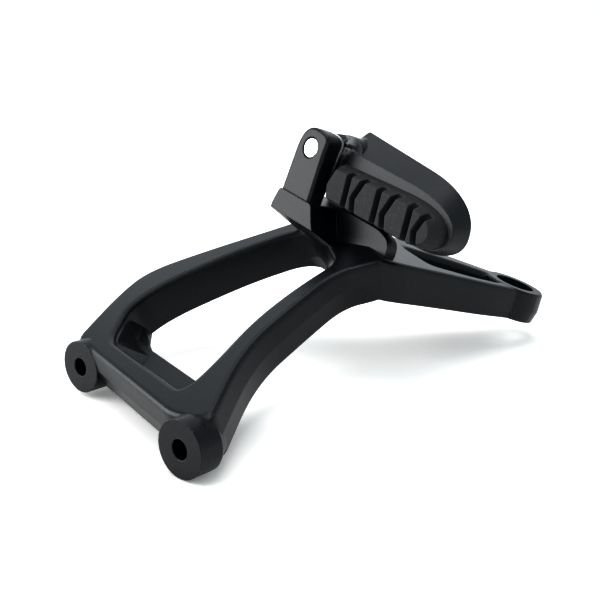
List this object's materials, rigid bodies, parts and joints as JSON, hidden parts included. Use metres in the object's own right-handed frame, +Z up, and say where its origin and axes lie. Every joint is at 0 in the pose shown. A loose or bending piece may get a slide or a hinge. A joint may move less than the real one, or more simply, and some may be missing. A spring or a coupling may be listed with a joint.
{
  "type": "motorcycle pillion footrest",
  "caption": "Cast black motorcycle pillion footrest bracket with an open window, bolt bosses, an eyelet arm and a folding rubber-padded peg on a clevis pin.",
  "frame": {"origin": "centre of the front bolt hole's mouth", "axes": "lying on a table as in the picture: +Z up from the table, +Y from the bolt bosses towards the hub and eyelet, +X from the front boss to the rear boss"},
  "size_m": [0.1552, 0.2362, 0.1127],
  "materials": {
    "black_casting": "satin black paint over a fine cast grain",
    "pad_rubber": "matte moulded rubber",
    "zinc_steel": "bright zinc-plated"
  },
  "bodies": {
    "bracket": {"bracket": "black_casting", "pivot_pin": "zinc_steel", "detent_plate": "zinc_steel", "pin_washer": "zinc_steel", "pin_clip": "zinc_steel"},
    "peg": {"peg_body": "black_casting", "peg_pad": "pad_rubber", "pad_screws": "zinc_steel", "pad_inserts": "zinc_steel", "detent_ball": "zinc_steel", "detent_spring": "zinc_steel"}
  },
  "joints": [
    {"name": "peg_fold", "type": "hinge", "parent": "bracket", "child": "peg", "pos_m": [0.01086, 0.11972, 0.08942], "axis": [0.1594, -0.9457, 0.2834], "range_deg": [0, 90]}
  ]
}
